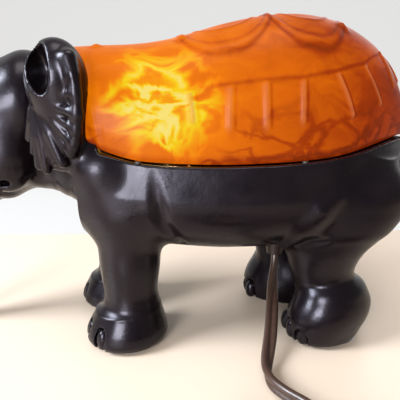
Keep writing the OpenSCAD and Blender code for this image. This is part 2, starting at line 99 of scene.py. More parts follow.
def mesh_object(name, points, faces, smooth=True):
    """A mesh from points in metres."""
    mesh = bpy.data.meshes.new(name)
    mesh.from_pydata([tuple(p) for p in points], [], [tuple(f) for f in faces])
    if smooth:
        mesh.shade_smooth()
    thing = bpy.data.objects.new(name, mesh)
    bpy.context.scene.collection.objects.link(thing)
    return thing


class Finish:
    """A node material: the surface shader, and short ways to add and join nodes."""

    def __init__(self, name):
        self.material = bpy.data.materials.new(name)
        self.material.use_nodes = True
        self.tree = self.material.node_tree
        self.shader = self.tree.nodes["Principled BSDF"]

    def node(self, kind, settings=(), **inputs):
        made = self.tree.nodes.new(kind)
        for key, value in dict(settings).items():
            setattr(made, key, value)
        for key, value in inputs.items():
            self.feed(made, key.replace("_", " "), value)
        return made

    def feed(self, node, key, value):
        socket = node.inputs[int(key)] if key.isdigit() else node.inputs[key]
        if isinstance(value, bpy.types.NodeSocket):
            self.tree.links.new(value, socket)
        else:
            socket.default_value = value

    def set(self, **values):
        for key, value in values.items():
            self.feed(self.shader, key.replace("_", " "), value)

    def between(self, factor, first, second):
        """A colour that runs from one tone to another with a factor."""
        mix = self.node("ShaderNodeMix", {"data_type": "RGBA"}, Factor=factor)
        mix.inputs["A"].default_value = (*first, 1.0)
        mix.inputs["B"].default_value = (*second, 1.0)
        return mix.outputs["Result"]

    def remap(self, value, low, high, to_low, to_high, kind="LINEAR"):
        """A value carried from one range to another."""
        made = self.node("ShaderNodeMapRange", {"interpolation_type": kind}, Value=value)
        for key, limit in (("From Min", low), ("From Max", high), ("To Min", to_low), ("To Max", to_high)):
            made.inputs[key].default_value = limit
        return made.outputs["Result"]


floor_finish = Finish("pale_table")
floor_finish.set(Base_Color=(0.60, 0.48, 0.37, 1.0), Roughness=0.40)
floor = mesh_object("table", [(-room_half, -3, 0), (room_half, -3, 0), (room_half, table_depth, 0),
                              (-room_half, table_depth, 0)], [(0, 1, 2, 3)], smooth=False)
floor.data.materials.append(floor_finish.material)
wall_finish = Finish("pale_wall")
wall_finish.set(Base_Color=(0.1, 0.1, 0.1, 1.0), Roughness=0.9, Emission_Color=(1.0, 0.995, 0.985, 1.0),
                Emission_Strength=wall_light)
backdrop = mesh_object("wall", [(-room_half, table_depth, under), (room_half, table_depth, under),
                                (room_half, wall_y, under), (-room_half, wall_y, under),
                                (room_half, wall_y, wall_top), (-room_half, wall_y, wall_top)],
                       [(0, 1, 2, 3), (3, 2, 4, 5)], smooth=False)
backdrop.data.materials.append(wall_finish.material)

# ---------------------------------------------------------------------------------------------------
# Cast figure: body, head, ears and tail are taken as hollow castings, joined and filed flush before the
# dark lacquer, so they are skinned here as one surface. It is modelled like clay on a grid of distances:
# forms are pressed on or cut away, then the clay is skinned, all in millimetres.


def catmull(rows, u):
    """Points of a smooth curve through rows, u from 0 to 1."""
    rows = np.asarray(rows, float)
    last = len(rows) - 1
    s = np.clip(np.asarray(u, float), 0, 1) * last
    i = np.minimum(np.floor(s).astype(int), last - 1)
    f = (s - i)[..., None]
    a, b, c, d = (rows[np.clip(i + k, 0, last)] for k in (-1, 0, 1, 2))
    return 0.5 * (2 * b + (c - a) * f + (2 * a - 5 * b + 4 * c - d) * f**2 + (3 * b - a - 3 * c + d) * f**3)


def soft_min(a, b, blend):
    h = np.clip(0.5 + 0.5 * (b - a) / blend, 0, 1)
    return b + (a - b) * h - blend * h * (1 - h)


class Clay:
    """Distances to the surface on a grid, negative inside the metal."""

    def __init__(self, low, high, step):
        self.low, self.step = np.array(low, np.float32), step
        self.axes = [np.arange(a, b + step, step, dtype=np.float32) for a, b in zip(low, high)]
        self.field = np.full([len(a) for a in self.axes], 40.0, np.float32)

    def work(self, low, high, distance, blend, cut=False):
        part = tuple(slice(*np.searchsorted(a, (l, h))) for a, l, h in zip(self.axes, low, high))
        x, y, z = (a[p].reshape([-1 if i == k else 1 for i in range(3)])
                   for k, (a, p) in enumerate(zip(self.axes, part)))
        if 0 in (x.size, y.size, z.size):
            return
        old = self.field[part]
        new = distance(x, y, z).astype(np.float32)
        self.field[part] = -soft_min(-old, new, blend) if cut else soft_min(old, new, blend)

    def ball(self, centre, radii, blend=6.0, turn=(0, 0, 0), cut=False):
        """An ellipsoid, turned by degrees about X, then Y, then Z."""
        spin = np.array(Euler([math.radians(t) for t in turn]).to_matrix())
        r = np.array(radii, float)

        def distance(x, y, z):
            p = [x - centre[0], y - centre[1], z - centre[2]]
            q = [sum(spin[k][i] * p[k] for k in range(3)) for i in range(3)]
            near = np.sqrt(sum((q[i] / r[i]) ** 2 for i in range(3)))
            slope = np.sqrt(sum((q[i] / r[i] ** 2) ** 2 for i in range(3))) + 1e-6
            return near * (near - 1) / slope

        reach = max(radii) + 2 * blend + 2
        c = np.array(centre)
        self.work(c - reach, c + reach, distance, blend, cut)

    def stroke(self, rows, blend=3.0, cut=False, ripple=None):
        """A limb along rows of x, y, z, radius; ripple is the pitch and depth of rings around it."""
        rows = np.asarray(rows, float)
        starts = np.concatenate([[0], np.cumsum(np.linalg.norm(np.diff(rows[:, :3], axis=0), axis=1))])

        def distance(x, y, z):
            best = None
            for k in range(len(rows) - 1):
                a, b = rows[k], rows[k + 1]
                d = b[:3] - a[:3]
                t = np.clip(((x - a[0]) * d[0] + (y - a[1]) * d[1] + (z - a[2]) * d[2]) / (d @ d), 0, 1)
                gap = np.sqrt((x - a[0] - t * d[0]) ** 2 + (y - a[1] - t * d[1]) ** 2
                              + (z - a[2] - t * d[2]) ** 2)
                gap = gap - (a[3] + t * (b[3] - a[3]))
                if ripple:
                    along = starts[k] + t * (starts[k + 1] - starts[k])
                    gap = gap + ripple[1] * np.cos(2 * np.pi * along / ripple[0])
                best = gap if best is None else np.minimum(best, gap)
            return best

        reach = rows[:, 3].max() + 2 * blend + 2
        self.work(rows[:, :3].min(0) - reach, rows[:, :3].max(0) + reach, distance, blend, cut)

    def column(self, rows, blend=6.0, axis=2, cut=False):
        """A stack of ellipses along an axis; rows hold place, two centres and two radii."""
        rows = np.asarray(rows, float)
        fine = catmull(rows, np.linspace(0, 1, 12 * len(rows)))
        a, b = [i for i in range(3) if i != axis]

        def distance(x, y, z):
            p = (x, y, z)
            along = p[axis]
            ca, cb, ra, rb = (np.interp(along, fine[:, 0], fine[:, k]) for k in (1, 2, 3, 4))
            q = np.sqrt(((p[a] - ca) / ra) ** 2 + ((p[b] - cb) / rb) ** 2)
            side = (q - 1) * np.minimum(ra, rb)
            ends = np.maximum(rows[0, 0] - along, along - rows[-1, 0])
            return np.maximum(side, ends + 0 * side)

        low, high = np.zeros(3), np.zeros(3)
        pad = 2 * blend + 2
        low[axis], high[axis] = rows[0, 0] - pad, rows[-1, 0] + pad
        for i, c, r in ((a, 1, 3), (b, 2, 4)):
            low[i] = (rows[:, c] - rows[:, r]).min() - pad
            high[i] = (rows[:, c] + rows[:, r]).max() + pad
        self.work(low, high, distance, blend, cut)

    def skin(self):
        """Quads through the cells that the surface crosses, their corners drawn onto the surface."""
        f = self.field
        inside = f < 0
        n = np.array(f.shape)
        corners = [(i, j, k) for i in (0, 1) for j in (0, 1) for k in (0, 1)]
        count = sum(inside[i:n[0] - 1 + i, j:n[1] - 1 + j, k:n[2] - 1 + k].astype(np.int8) for i, j,
                    k in corners)
        cells = np.argwhere((count > 0) & (count < 8))
        index = np.full(n - 1, -1, np.int64)
        index[tuple(cells.T)] = np.arange(len(cells))
        value = {c: f[tuple((cells + c).T)] for c in corners}
        total, hits = np.zeros((len(cells), 3)), np.zeros(len(cells))
        for a in corners:
            for axis in range(3):
                if a[axis]:
                    continue
                b = tuple(1 if i == axis else a[i] for i in range(3))
                va, vb = value[a], value[b]
                crossed = (va < 0) != (vb < 0)
                t = np.where(crossed, va / np.where(crossed, va - vb, 1), 0)
                spot = np.array(a, float) + np.outer(t, np.eye(3)[axis])
                total += spot * crossed[:, None]
                hits += crossed
        points = cells + total / hits[:, None]
        quads = []
        for axis in range(3):
            u, v = (axis + 1) % 3, (axis + 2) % 3
            near, far = [slice(None)] * 3, [slice(None)] * 3
            near[axis], far[axis] = slice(0, -1), slice(1, None)
            flip = inside[tuple(near)] != inside[tuple(far)]
            spots = np.argwhere(flip)
            spots = spots[(spots[:, u] > 0) & (spots[:, v] > 0)
                          & (spots[:, u] < n[u] - 1) & (spots[:, v] < n[v] - 1)]
            eu, ev = np.eye(3, dtype=int)[u], np.eye(3, dtype=int)[v]
            ring = [index[tuple((spots - du * eu - dv * ev).T)] for du,
                    dv in ((1, 1), (0, 1), (0, 0), (1, 0))]
            ring = np.stack(ring, 1)
            out = inside[tuple(spots.T)]
            ring[~out] = ring[~out][:, ::-1]
            quads.append(ring)
        quads = np.concatenate(quads)
        return self.settle(points), quads[(quads >= 0).all(1)]

    def sample(self, points):
        base = np.clip(np.floor(points).astype(int), 0, np.array(self.field.shape) - 2)
        t = points - base
        out = 0
        for i in (0, 1):
            for j in (0, 1):
                for k in (0, 1):
                    wx, wy, wz = (t[:, n] if side else 1 - t[:, n] for n, side in enumerate((i, j, k)))
                    w = wx * wy * wz
                    out = out + w * self.field[base[:, 0] + i, base[:, 1] + j, base[:, 2] + k]
        return out

    def settle(self, points):
        """Move the corners along the steepest way to the surface, in grid units, then to millimetres."""
        for _ in range(3):
            slope = np.stack([self.sample(points + e) - self.sample(points - e) for e in 0.5 * np.eye(3)], 1)
            value = self.sample(points)
            move = (value / np.maximum((slope**2).sum(1), 1e-3))[:, None] * slope
            size = np.linalg.norm(move, axis=1, keepdims=True)
            points = points - move * np.minimum(1, 0.4 / np.maximum(size, 1e-6))
        return self.low + points * self.step


# Rows of x, belly height, rim height and half width of the trunk of the body, as in the solid model
torso_rows = [
    [-62, 68, 116, 34], [-52, 60, 112.5, 39.5], [-36, 56, 107, 45], [-20, 54.5, 102.8, 47.8],
    [0, 52.5, 101.3, 49.4], [20, 51, 101, 50], [40, 51, 101.4, 49.6], [58, 51, 102.3, 48],
    [76, 51, 104, 44.6], [90, 51.5, 106.4, 38.8], [102, 53.5, 109, 31.5], [112, 58, 111, 24],
    [121, 66, 112, 16], [127, 77, 112.2, 10], [130.5, 91, 112, 5]]
torso_fine = catmull(torso_rows, np.linspace(0, 1, 240))
wall = 4.5
flank_at = 0.62
bumper_h = 1.2
foot_z = 1.55
voxel = 0.85


def trunk_form(inset):
    """Distance to the trunk of the body, or to the hollow inside it."""
    def distance(x, y, z):
        low, rim, half = (np.interp(x, torso_fine[:, 0], torso_fine[:, k]) for k in (1, 2, 3))
        low, half = low + inset, np.maximum(half - inset, 1.0)
        wide = low + flank_at * (rim - low)
        below = (np.abs(y) / half) ** 2.5 + (np.abs(wide - z) / (wide - low)) ** 2.5
        above = np.abs(y) / (half * (1 - 0.06 * np.clip((z - wide) / (rim - wide), 0, 3)))
        ends = np.maximum(-50 + inset - x, x - 131.4 + inset)
        return np.maximum((np.where(z < wide, below**0.4, above) - 1) * np.minimum(half, 30), ends)
    return distance


clay = Clay((-144, -57, -3), (144, 57, 164), voxel)
clay.work((-62, -56, 46), (134, 56, 134), trunk_form(0), 4)

# Legs: columns of height, centre and radii
for side, ahead in ((-1, 0.0), (1, 13.5)):
    rows = np.array([
        [6, -30.8, 20.8, 20], [10, -30.4, 20.2, 19.8], [17, -29, 17.6, 17.6], [24, -28.2, 15.2, 15.4],
        [30, -28.5, 14.8, 15], [43, -28.3, 16.3, 16.5], [55, -28.1, 17.2, 17.5], [65, -28.5, 19.5, 18],
        [76, -29.5, 20.5, 17.5], [90, -31, 18, 13], [102, -33, 12, 7]])
    y_centre = np.interp(rows[:, 0], [6, 30, 55, 76, 102], [24, 23.3, 23.5, 28, 30])
    step = ahead * np.interp(rows[:, 0], [6, 55, 102], [1, 0.8, 0.3])
    clay.column(np.stack([rows[:, 0], rows[:, 1] - step, side * y_centre, rows[:, 2], rows[:, 3]], 1), 7)
    foot = np.array([[-0.5, 20.3, 19.8], [2, 21.3, 20.8], [4.5, 21.8, 21.2], [8, 21.3, 20.8], [13, 19, 18.8],
                     [18, 16.5, 16.5]])
    clay.column([[z, -31.2 - ahead, side * 24, rx, ry] for z, rx, ry in foot], 5)
for side, back, turn in ((-1, 0.0, 35), (1, -14.5, -20)):
    rows = np.array([
        [14, 84.5, 19, 16], [24, 83.8, 18.5, 15.8], [30, 81.5, 18, 15.6], [35, 79.8, 17.6, 15.8],
        [40, 78.6, 18, 16.3], [46, 78.6, 19.5, 17.2], [52, 79.6, 22, 18.2], [58, 82, 25.5, 18.8],
        [64, 85.5, 28.5, 19.4], [74, 90.5, 30, 19], [86, 94.5, 27, 17], [100, 96, 19, 11]])
    y_centre = np.interp(rows[:, 0], [14, 40, 64, 86, 100], [23.5, 22.5, 25.5, 24.5, 20])
    step = back * np.interp(rows[:, 0], [14, 50, 100], [1, 0.75, 0.2])
    clay.column(np.stack([rows[:, 0], rows[:, 1] + step, side * y_centre, rows[:, 2], rows[:, 3]], 1), 7)
    heel = catmull([(3.5, 81, 21.8, 16.2), (8, 81.8, 23.4, 17.2), (14, 83.6, 25.2, 18.4),
                    (21, 85.5, 24.3, 18),
                    (29, 85, 19.5, 15.6)], np.linspace(0, 1, 15))
    for z, x, long, wide in heel:
        clay.ball((x + back, side * 24.5, z), (long, wide, 8), 3, turn=(0, 0, turn))

# Neck, crown, cheeks and jaw
clay.column([[-30, 0, 96, 30, 22], [-40, 0, 100, 36, 31], [-46, 0, 105, 36, 35], [-52, 0, 110.5, 35.5, 38],
             [-58, 0, 115, 34.5, 38], [-65, 0, 119, 33, 36.5], [-75, 0, 120.5, 32.5, 37],
             [-85, 0, 121, 31, 36], [-92, 0, 121, 27, 30]], 6, axis=0)
clay.stroke([(-85, 0, 100, 15.5), (-75, 0, 98.5, 17), (-65, 0, 98.5, 19), (-56, 0, 97, 21.5),
             (-49, 0, 95, 23),
             (-38, 0, 90, 26)], 5)
clay.ball((-83, 0, 128), (19, 27, 29.5), 7)
clay.ball((-98, 0, 122), (21, 28, 30), 7)
for side in (-1, 1):
    clay.ball((-92, side * 17, 103), (15, 12, 20), 6)
    clay.stroke([(-88, side * 3, 97, 13.5), (-100, side * 2, 89, 12), (-109, 0, 84, 8.5),
                 (-114, 0, 81.5, 5.4)], 5)
clay.stroke([(-106, 0, 112, 22), (-114, 0, 98, 18), (-120, 0, 84, 14.8), (-124, 0, 68, 12.4),
             (-127, 0, 52, 10.5),
             (-128.8, 0, 38, 9.2), (-130.5, 0, 25, 7.8), (-133.3, 0, 16, 6.4), (-136, 0, 11.5, 5)],
            4, ripple=(5.2, 0.35))
clay.ball((-136.6, 0, 8.6), (4, 5.4, 4), 1.5)

# Toenails, each in a shallow groove
for cx, cy, reach, angles in ((-31.2, -24, 18.2, (158, 196, 234)), (-44.7, 24, 18.2, (126, 164, 202)),
                              (81, -24.5, 20.2, (172, 198, 222)), (66.5, 24.5, 20.6, (142, 168, 194))):
    for angle in angles:
        c, s = math.cos(math.radians(angle)), math.sin(math.radians(angle))
        spot = (cx + reach * c, cy + reach * s, 6.5)
        clay.ball(spot, (4.6, 4.6, 7.4), 0.5, cut=True)
        clay.ball(spot, (3.6, 3.6, 6.2), 0.4)

# Tail
clay.stroke([(125, 0, 107, 6), (131, 0, 102.5, 4.4), (135.5, 0, 96, 3.6), (137.5, 0, 88, 3.2),
             (138.2, 0, 78, 2.8),
             (136.5, 0, 70, 3.6), (133.5, 0, 64, 3.9), (130.5, 0, 60, 2.4)], 3)

for side in (-1, 1):
    # Ear: a broad dome above, with a deep leaf-shaped hollow, and a fan of folds below the pinch
    clay.ball((-56.5, side * 38, 139), (14.5, 12.5, 19), 4, turn=(0, 0, side * 14))
    clay.ball((-55, side * 39.6, 127), (11.6, 7.2, 19), 4, turn=(0, 0, side * 14))
    clay.ball((-57.5, side * 38.4, 115), (13.3, 6.6, 17.5), 3, turn=(0, 0, side * 14))
    pinch = (-65.5, 40.5, 132)
    fan = [(-72, 33.5, 121, 1.9), (-72.2, 34.5, 113, 2.4), (-70.5, 36, 106.5, 1.8), (-67, 39, 100.5, 2.6),
           (-63, 41.5, 98.6, 2.3), (-58.8, 43, 102.5, 1.9), (-54.5, 45, 102.4, 2.6),
           (-50.4, 46.2, 106.5, 2.0),
           (-48, 47.2, 111, 2.4), (-46.3, 48.4, 117, 1.9), (-45.4, 49.2, 124, 2.4), (-45.8, 49, 133, 1.8),
           (-47, 48, 141, 2.2)]
    for x, y, z, r in fan:
        clay.stroke([(pinch[0], side * pinch[1], pinch[2], 1.5),
                     (0.55 * x + 0.45 * pinch[0], side * (0.55 * y + 0.45 * pinch[1] + 1.4),
                      0.55 * z + 0.45 * pinch[2], 0.95 * r), (x, side * y, z, r)], 1.0)
    clay.stroke([(-49, side * 46.8, 108.5, 2.2), (-46.6, side * 48.2, 115, 2.3),
                 (-45.3, side * 49.2, 123, 2.4),
                 (-45, side * 49.6, 132, 2.6), (-45.8, side * 48.8, 141, 3), (-48, side * 46.5, 148, 4)], 3)
    clay.ball((-62.4, side * 50, 145.5), (5.9, 17, 13), 0.9, turn=(0, -9, 0), cut=True)

    # Mouth: a dark crease under the cheek with a lip above it
    clay.stroke([(-113, side * 13, 93, 2.4), (-103, side * 20, 96, 3), (-92, side * 24.5, 98.5, 3)], 3)
    clay.stroke([(-112, side * 14, 88, 1.6), (-101, side * 19, 90.5, 2.6), (-91, side * 23, 90, 2.6)], 2,
                cut=True)

    # Eye in its socket, under one lid
    clay.ball((-104.5, side * 27.5, 124), (5, 4, 4), 2.5, cut=True)
    clay.ball((-104, side * 24.6, 124), (2.9, 2.9, 2.6), 0.6)
    clay.stroke([(-108, side * 23.8, 124.5, 0.9), (-104.6, side * 26.4, 127, 1.0),
                 (-100.6, side * 27, 124.5, 0.9)], 1)

    # Ridge over the stifle with a fold under it
    clay.stroke([(55.5, side * 36, 60, 2.5), (61, side * 41, 68.5, 4), (68.5, side * 43.5, 77, 4),
                 (76, side * 42, 84, 2)], 6)
    clay.stroke([(58.5, side * 39.5, 57.5, 0.8), (65.5, side * 43, 60.5, 1.8), (73, side * 44.5, 62, 0.6)],
                3, cut=True)

    # Shoulder seam
    clay.stroke([(-13, side * 50.2, 100, 0.6), (-11.5, side * 50.8, 85, 1.9), (-8.5, side * 48.6, 72, 2.4),
                 (-3, side * 42.5, 62, 2.2), (1, side * 33, 57, 1.0)], 4, cut=True)
    clay.ball((-40, side * 33, 97), (12, 13, 12), 8)

# Hollow of the body, flat rim, the hole for the cord, and the soles cut flat
clay.work((-39, -54, 50), (128, 54, 116), trunk_form(wall), 1.0, cut=True)


def above_rim(x, y, z):
    rim = np.interp(x, torso_fine[:, 0], torso_fine[:, 2]) - bumper_h
    return rim - z + 0 * y + 40 * np.clip((-38.5 - x) / 3, 0, 1)


clay.work((-46, -56, 90), (134, 56, 136), above_rim, 0.8, cut=True)
clay.stroke([(57, 0, 44, 5.2), (57, 0, 62, 5.2)], 0.3, cut=True)
clay.work((-144, -57, -4), (144, 57, 6), lambda x, y, z: z - foot_z + 0 * (x + y), 0.6, cut=True)

points, quads = clay.skin()
skin = mesh_object("skin", points * mm, quads)
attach(skin, "lamp")
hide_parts("figure_body", "figure_head", "ear_left", "ear_right", "figure_tail")

lacquer = Finish("figure_lacquer")
place = lacquer.node("ShaderNodeTexCoord")
brush = lacquer.node("ShaderNodeTexNoise", Scale=700.0, Detail=3.0, Vector=place.outputs["Object"])
dents = lacquer.node("ShaderNodeTexNoise", Scale=95.0, Detail=3.0, Vector=place.outputs["Object"])
broad = lacquer.node("ShaderNodeTexNoise", Scale=60.0, Detail=4.0, Vector=place.outputs["Object"])
tone = lacquer.between(broad.outputs["Fac"], (0.0013, 0.0007, 0.0012), (0.0052, 0.0027, 0.0036))
sheen = lacquer.remap(broad.outputs["Fac"], 0.3, 0.7, 0.24, 0.36)
lacquer.set(Base_Color=tone, Roughness=sheen, Specular_IOR_Level=0.24,
            Specular_Tint=(0.92, 0.86, 1.0, 1.0), Coat_Weight=0.05, Coat_Roughness=0.10)
low = lacquer.node("ShaderNodeBump", Strength=0.25, Distance=0.0008, Height=dents.outputs["Fac"])
fine = lacquer.node("ShaderNodeBump", Strength=0.10, Distance=0.0004, Height=brush.outputs["Fac"])
lacquer.tree.links.new(low.outputs["Normal"], fine.inputs["Normal"])
lacquer.set(Normal=fine.outputs["Normal"])
skin.data.materials.append(lacquer.material)

# ---------------------------------------------------------------------------------------------------
# Tusks: two small moulded resin tusks, dull cream rubbed dark, pinned into the corners of the mouth.


def frames(points, wide=(0, 0, 1)):
    """Unit directions along a line of points, and two unit directions across it."""
    points = np.asarray(points, float)
    ahead = np.gradient(points, axis=0)
    ahead /= np.linalg.norm(ahead, axis=1, keepdims=True)
    wide = np.broadcast_to(np.asarray(wide, float), points.shape)
    across = wide - (wide * ahead).sum(1, keepdims=True) * ahead
    across /= np.linalg.norm(across, axis=1, keepdims=True)
    return ahead, across, np.cross(ahead, across)


def grid_faces(rings, count, closed=True, start=0):
    """Quads between rings of count points."""
    span = count if closed else count - 1
    return [(start + i * count + j, start + i * count + (j + 1) % count,
             start + (i + 1) * count + (j + 1) % count, start + (i + 1) * count + j)
            for i in range(rings - 1) for j in range(span)]


def sweep(points, outlines, wide=(0, 0, 1)):
    """Points and faces of a closed outline carried along a line; one outline, or one for each point."""
    points = np.asarray(points, float)
    _, across, up = frames(points, wide)
    outlines = np.asarray(outlines, float)
    if outlines.ndim == 2:
        outlines = np.broadcast_to(outlines, (len(points),) + outlines.shape)
    n = outlines.shape[1]
    cloud = points[:, None] + outlines[..., :1] * across[:, None] + outlines[..., 1:] * up[:, None]
    faces = grid_faces(len(points), n)
    faces += [tuple(range(n - 1, -1, -1)), tuple((len(points) - 1) * n + j for j in range(n))]
    return cloud.reshape(-1, 3), [tuple(f[::-1]) for f in faces]


def circle(n, radius=1.0):
    t = np.linspace(0, 2 * np.pi, n, endpoint=False)
    return radius * np.stack([np.cos(t), np.sin(t)], 1)


horn = Finish("tusk_horn")
place = horn.node("ShaderNodeTexCoord")
grain = horn.node("ShaderNodeTexNoise", Scale=220.0, Detail=4.0, Vector=place.outputs["Object"])
cream = horn.between(grain.outputs["Fac"], (0.10, 0.070, 0.045), (0.36, 0.29, 0.20))
horn.set(Base_Color=cream, Roughness=0.38, Coat_Weight=0.4, Coat_Roughness=0.2)
for side, name in ((-1, "tusk_left"), (1, "tusk_right")):
    line = catmull([(-101, side * 13, 87.5), (-107, side * 15.5, 83.5), (-113, side * 17.3, 79.8),
                    (-119, side * 18.6, 77.6), (-125, side * 19.4, 77.4)], np.linspace(0, 1, 30))
    size = np.interp(np.linspace(0, 1, 30), [0, 0.15, 0.6, 0.9, 1], [3.5, 3.5, 2.6, 1.4, 0.5])
    tusk = mesh_object(name + "_ivory", *[np.array(v) * mm if k == 0 else v for k, v in enumerate(
        sweep(line, circle(16)[None] * size[:, None, None]))])
    tusk.data.materials.append(horn.material)
    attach(tusk, "lamp")
    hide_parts(name)

# ---------------------------------------------------------------------------------------------------
# Felt pads under the feet, and clear bumpers on the rim that the glass rests on, all stuck down.


def dress(node, finish):
    """Give a CAD node its finish."""
    thing = bpy.data.objects[node]
    thing.data.materials.clear()
    thing.data.materials.append(finish.material)


def speckle(name, dark, light, scale, rough, detail=3.0, **more):
    """A surface whose colour drifts between two tones, with a fine bump."""
    finish = Finish(name)
    where = finish.node("ShaderNodeTexCoord")
    noise = finish.node("ShaderNodeTexNoise", Scale=scale, Detail=detail, Vector=where.outputs["Object"])
    relief = finish.node("ShaderNodeBump", Strength=0.15, Distance=0.0003, Height=noise.outputs["Fac"])
    finish.set(Base_Color=finish.between(noise.outputs["Fac"], dark, light), Roughness=rough,
               Normal=relief.outputs["Normal"], **more)
    return finish


felt = speckle("felt", (0.006, 0.006, 0.006), (0.03, 0.028, 0.026), 1800, 0.95, Sheen_Weight=0.5)
dress("felt_pads", felt)
rubber = speckle("clear_bumper", (0.025, 0.024, 0.022), (0.05, 0.048, 0.045), 400, 0.35)
dress("shade_bumpers", rubber)

# ---------------------------------------------------------------------------------------------------
# Glass shade: one shell of pressed art glass shaped as a saddle blanket, with raised ovals, studs, a
# border line with bars hanging from it, and pleats at the neck. It only rests on the body.

# The bulb's glow through the glass is painted into the glass's emission, brightest round the bulb's place,
# and the relief carries painted shade and painted highlight.
shade_rows = [
    [-61, 159, -46, 41, 112], [-44, 160, -35, 44, 107], [-22, 161, -20, 46, 103], [0, 164.2, 0, 46.8, 101.5],
    [23, 170.5, 22, 47, 101], [45, 174.7, 42, 46.2, 101.5], [64, 175.5, 60, 44.6, 102.4],
    [82, 172.3, 77, 40.6, 104.1], [97, 165.6, 91, 34.4, 106.6], [110, 156, 103, 26.6, 109],
    [119.5, 143, 113, 19.4, 111], [126, 128, 120, 13.6, 112], [129.5, 113, 124, 9, 112.3]]
glass_t = 3.6
crest_limit = 175.55
rounding = 1.6


def shade_points(u, a):
    """Outer face of the glass: u runs from neck to tail, a in degrees from one rim over the crest."""
    row = catmull(shade_rows, u)
    lift = np.cos(np.radians(a)) ** 0.78
    side = np.sin(np.radians(a))
    return np.stack([row[..., 2] + (row[..., 0] - row[..., 2]) * lift,
                     row[..., 3] * np.sign(side) * np.abs(side) ** 0.86,
                     row[..., 4] + (row[..., 1] - row[..., 4]) * lift], -1)


def ridge(distance, half_width):
    """A rounded bead where distance is small."""
    return np.exp(-(distance / half_width) ** 2)


def relief(u, a, p):
    """Height of the pressed relief in millimetres, with painted shade on it above zero, painted highlight
    below.
    """
    low = np.abs(a)
    x, y = p[..., 0], np.abs(p[..., 1])
    scale = 0.82
    border = np.interp(u, [0.18, 0.25, 0.48, 0.56, 0.64, 0.70, 0.75], [64, 63.6, 63.8, 60, 52, 36, 10])
    seen = np.clip((u - 0.19) / 0.05, 0, 1) * np.clip((0.74 - u) / 0.03, 0, 1)
    line = seen * ridge((low - border) * scale, 0.9)
    height = 0.40 * seen / (1 + np.exp((low - border) / 0.9)) + 0.25 * line
    # Painted shade along the border line.
    dark = 0.9 * line
    for u0, a0, u1, a1 in ((0.268, 66, 0.273, 77), (0.336, 66, 0.336, 80), (0.401, 66, 0.406, 80.5),
                           (0.479, 66, 0.484, 79.5), (0.561, 62, 0.612, 78), (0.645, 54, 0.719, 71),
                           (0.715, 30, 0.784, 52), (0.75, 8, 0.82, 30)):
        t = np.clip((low - a0) / (a1 - a0), 0, 1)
        across = (u - (u0 + t * (u1 - u0))) * 225
        past = np.maximum(np.maximum(a0 - low, low - a1), 0) * scale
        bar = ridge(np.hypot(across, past), 1.25)
        height = height + 0.8 * bar
        # Painted highlight on the bar's top, painted shadow in a line beside it.
        dark = dark - 0.9 * bar + 0.8 * ridge(np.hypot(across - 2.2, past), 0.8)
    for cx, rx, ry in ((22.5, 23.5, 34), (63.5, 19.5, 33)):
        q = ((np.abs(x - cx) / rx) ** 2.6 + (y / ry) ** 2.6) ** (1 / 2.6)
        outline, inside = (q - 1) * 26, (q - 0.66) * 26
        height = height + 0.65 * ridge(outline, 1.5) + 0.40 * ridge(inside,
            1.2) + 0.25 / (1 + np.exp(outline))
        # Painted shade just outside and inside each oval's outline and on its inner ring.
        dark = dark + 1.1 * ridge(outline - 1.6, 0.9) + 0.8 * ridge(outline + 1.8, 0.8) + 0.7 * ridge(inside,
            0.9)
    for sx, sy, tall in ((-42, 16.6, 1.3), (1.0, 20.3, 1.3), (43.5, 0, 1.0), (82, 20.3, 1.4)):
        stud = np.hypot(x - sx, y - sy)
        height = height + tall * ridge(stud, 2.6)
        # Painted shade in a ring round each stud, painted highlight on its top.
        dark = dark * np.clip(stud / 4, 0, 1) + 0.5 * ridge(stud - 3.6, 0.9) - 0.4 * ridge(stud, 2.2)
    # Pleats at the neck get painted shade in their troughs; the bottom edge of the glass is drawn darker.
    pleat = np.clip((0.10 - u) / 0.03, 0, 1) * np.clip((low - 22) / 12, 0, 1)
    wave = 0.5 + 0.5 * np.cos(2 * np.pi * u / 0.034)
    height = height + 0.4 * pleat * wave
    rim = 0.9 * np.clip((low - 88.2) / 1.2, 0, 1)
    return height, dark + 0.5 * pleat * (1 - wave) + rim


u_steps, a_steps = 330, 300
u, a = np.meshgrid(np.linspace(0, 1, u_steps), np.linspace(-90, 90, a_steps), indexing="ij")
outer = shade_points(u, a)
du = np.gradient(shade_points(u, np.clip(a, -88, 88)), axis=0)
da = np.gradient(shade_points(u, np.clip(a, -88.5, 88.5)), axis=1)
da[:, 0], da[:, -1], da[:, 1], da[:, -2] = da[:, 3], da[:, -4], da[:, 3], da[:, -4]
da[:, 2], da[:, -3] = da[:, 3], da[:, -4]
normal = np.cross(du, da)
normal /= np.linalg.norm(normal, axis=-1, keepdims=True)
inner = outer - glass_t * normal
height, dark = relief(u, a, outer)
edge = np.minimum.reduce([(u * 205), ((1 - u) * 150), (90 - np.abs(a)) * 1.1])
soften = np.sqrt(np.clip(1 - (1 - np.clip(edge / rounding, 0, 1)) ** 2, 0, 1))
outer = outer + ((height - 0.75) * soften - 1.5 * (1 - soften))[..., None] * normal
outer[..., 2] = np.minimum(outer[..., 2], crest_limit)
cloud = np.concatenate([outer.reshape(-1, 3), inner.reshape(-1, 3)])
total = u_steps * a_steps
top = grid_faces(u_steps, a_steps, closed=False)
faces = top + [tuple(k + total for k in f[::-1]) for f in top]
ring = ([(i, 0) for i in range(u_steps)] + [(u_steps - 1, j) for j in range(1, a_steps)]
        + [(i, a_steps - 1) for i in range(u_steps - 2, -1, -1)] + [(0, j) for j in range(a_steps - 2, 0,
            -1)])
ring = [i * a_steps + j for i, j in ring]
faces += [(ring[k], ring[(k + 1) % len(ring)], ring[(k + 1) % len(ring)] + total, ring[k] + total)
          for k in range(len(ring))]
shade = mesh_object("shade_glass", cloud * mm, [f[::-1] for f in faces])
